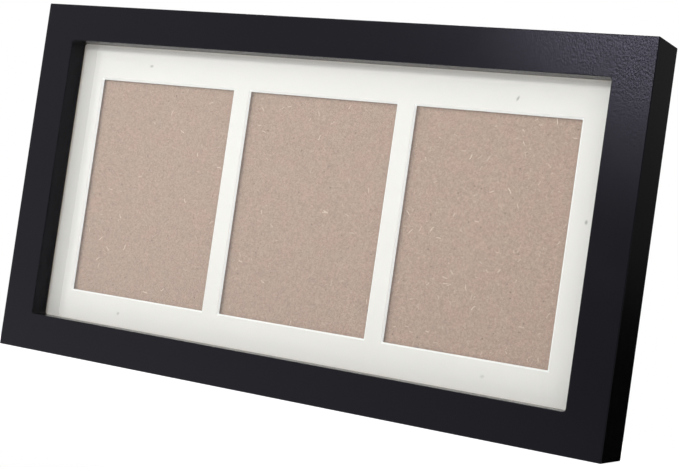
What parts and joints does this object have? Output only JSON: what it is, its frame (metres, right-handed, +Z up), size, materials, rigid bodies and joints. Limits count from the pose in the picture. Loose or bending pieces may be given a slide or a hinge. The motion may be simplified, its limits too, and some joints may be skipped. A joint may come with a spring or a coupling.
{
  "type": "collage photo frame",
  "caption": "Deep square-edged black collage frame with a glazed cream mat for a row of upright prints, bendable backing tabs and swinging hanging rings.",
  "frame": {"origin": "centre of the flat bottom face that the frame stands on", "axes": "+X along the frame to the right as seen from the front, +Y from the front to the back, +Z up"},
  "size_m": [0.57, 0.0498, 0.311],
  "materials": {
    "rail_lacquer": "satin black sprayed lacquer with a fine orange peel",
    "nail_steel": "plain strip steel",
    "glazing": "clear float glass",
    "mat_card": "matte cream surface paper on a white core, bevel cut",
    "spacer_card": "matte foam-centred board strip",
    "backing_mdf": "raw thin MDF, fibrous",
    "tab_steel": "thin bendable steel",
    "hanger_steel": "bright zinc plated steel",
    "bumper_rubber": "soft matte pad"
  },
  "bodies": {
    "frame": {"rail_top": "rail_lacquer", "rail_bottom": "rail_lacquer", "rail_left": "rail_lacquer", "rail_right": "rail_lacquer", "corner_nails": "nail_steel", "glass_pane": "glazing", "mat_board": "mat_card", "spacer_top": "spacer_card", "spacer_bottom": "spacer_card", "spacer_left": "spacer_card", "spacer_right": "spacer_card", "backing_board": "backing_mdf", "tab_roots": "tab_steel", "hanger_strap_left": "hanger_steel", "hanger_strap_right": "hanger_steel", "hanger_screws": "hanger_steel", "wall_bumper_left": "bumper_rubber", "wall_bumper_right": "bumper_rubber"},
    "tab_top_1": {"tab_leaf_top_1": "tab_steel"},
    "tab_bottom_1": {"tab_leaf_bottom_1": "tab_steel"},
    "tab_top_2": {"tab_leaf_top_2": "tab_steel"},
    "tab_bottom_2": {"tab_leaf_bottom_2": "tab_steel"},
    "tab_top_3": {"tab_leaf_top_3": "tab_steel"},
    "tab_bottom_3": {"tab_leaf_bottom_3": "tab_steel"},
    "tab_left_1": {"tab_leaf_left_1": "tab_steel"},
    "tab_right_1": {"tab_leaf_right_1": "tab_steel"},
    "tab_left_2": {"tab_leaf_left_2": "tab_steel"},
    "tab_right_2": {"tab_leaf_right_2": "tab_steel"},
    "ring_left": {"hanger_ring_left": "hanger_steel"},
    "ring_right": {"hanger_ring_right": "hanger_steel"}
  },
  "joints": [
    {"name": "tab_top_1_bend", "type": "hinge", "parent": "frame", "child": "tab_top_1", "pos_m": [-0.18684, 0.0058, 0.28475], "axis": [1, 0, 0], "range_deg": [0, 85]},
    {"name": "tab_bottom_1_bend", "type": "hinge", "parent": "frame", "child": "tab_bottom_1", "pos_m": [-0.18684, 0.0058, 0.02625], "axis": [-1, 0, 0], "range_deg": [0, 85]},
    {"name": "tab_top_2_bend", "type": "hinge", "parent": "frame", "child": "tab_top_2", "pos_m": [0, 0.0058, 0.28475], "axis": [1, 0, 0], "range_deg": [0, 85]},
    {"name": "tab_bottom_2_bend", "type": "hinge", "parent": "frame", "child": "tab_bottom_2", "pos_m": [0, 0.0058, 0.02625], "axis": [-1, 0, 0], "range_deg": [0, 85]},
    {"name": "tab_top_3_bend", "type": "hinge", "parent": "frame", "child": "tab_top_3", "pos_m": [0.18684, 0.0058, 0.28475], "axis": [1, 0, 0], "range_deg": [0, 85]},
    {"name": "tab_bottom_3_bend", "type": "hinge", "parent": "frame", "child": "tab_bottom_3", "pos_m": [0.18684, 0.0058, 0.02625], "axis": [-1, 0, 0], "range_deg": [0, 85]},
    {"name": "tab_left_1_bend", "type": "hinge", "parent": "frame", "child": "tab_left_1", "pos_m": [-0.25875, 0.0058, 0.0931], "axis": [0, 0, 1], "range_deg": [0, 85]},
    {"name": "tab_right_1_bend", "type": "hinge", "parent": "frame", "child": "tab_right_1", "pos_m": [0.25875, 0.0058, 0.0931], "axis": [0, 0, -1], "range_deg": [0, 85]},
    {"name": "tab_left_2_bend", "type": "hinge", "parent": "frame", "child": "tab_left_2", "pos_m": [-0.25875, 0.0058, 0.2179], "axis": [0, 0, 1], "range_deg": [0, 85]},
    {"name": "tab_right_2_bend", "type": "hinge", "parent": "frame", "child": "tab_right_2", "pos_m": [0.25875, 0.0058, 0.2179], "axis": [0, 0, -1], "range_deg": [0, 85]},
    {"name": "ring_left_swing", "type": "hinge", "parent": "frame", "child": "ring_left", "pos_m": [-0.27225, 0.025, 0.233], "axis": [1, 0, 0], "range_deg": [0, 180]},
    {"name": "ring_right_swing", "type": "hinge", "parent": "frame", "child": "ring_right", "pos_m": [0.27225, 0.025, 0.233], "axis": [1, 0, 0], "range_deg": [0, 180]}
  ]
}
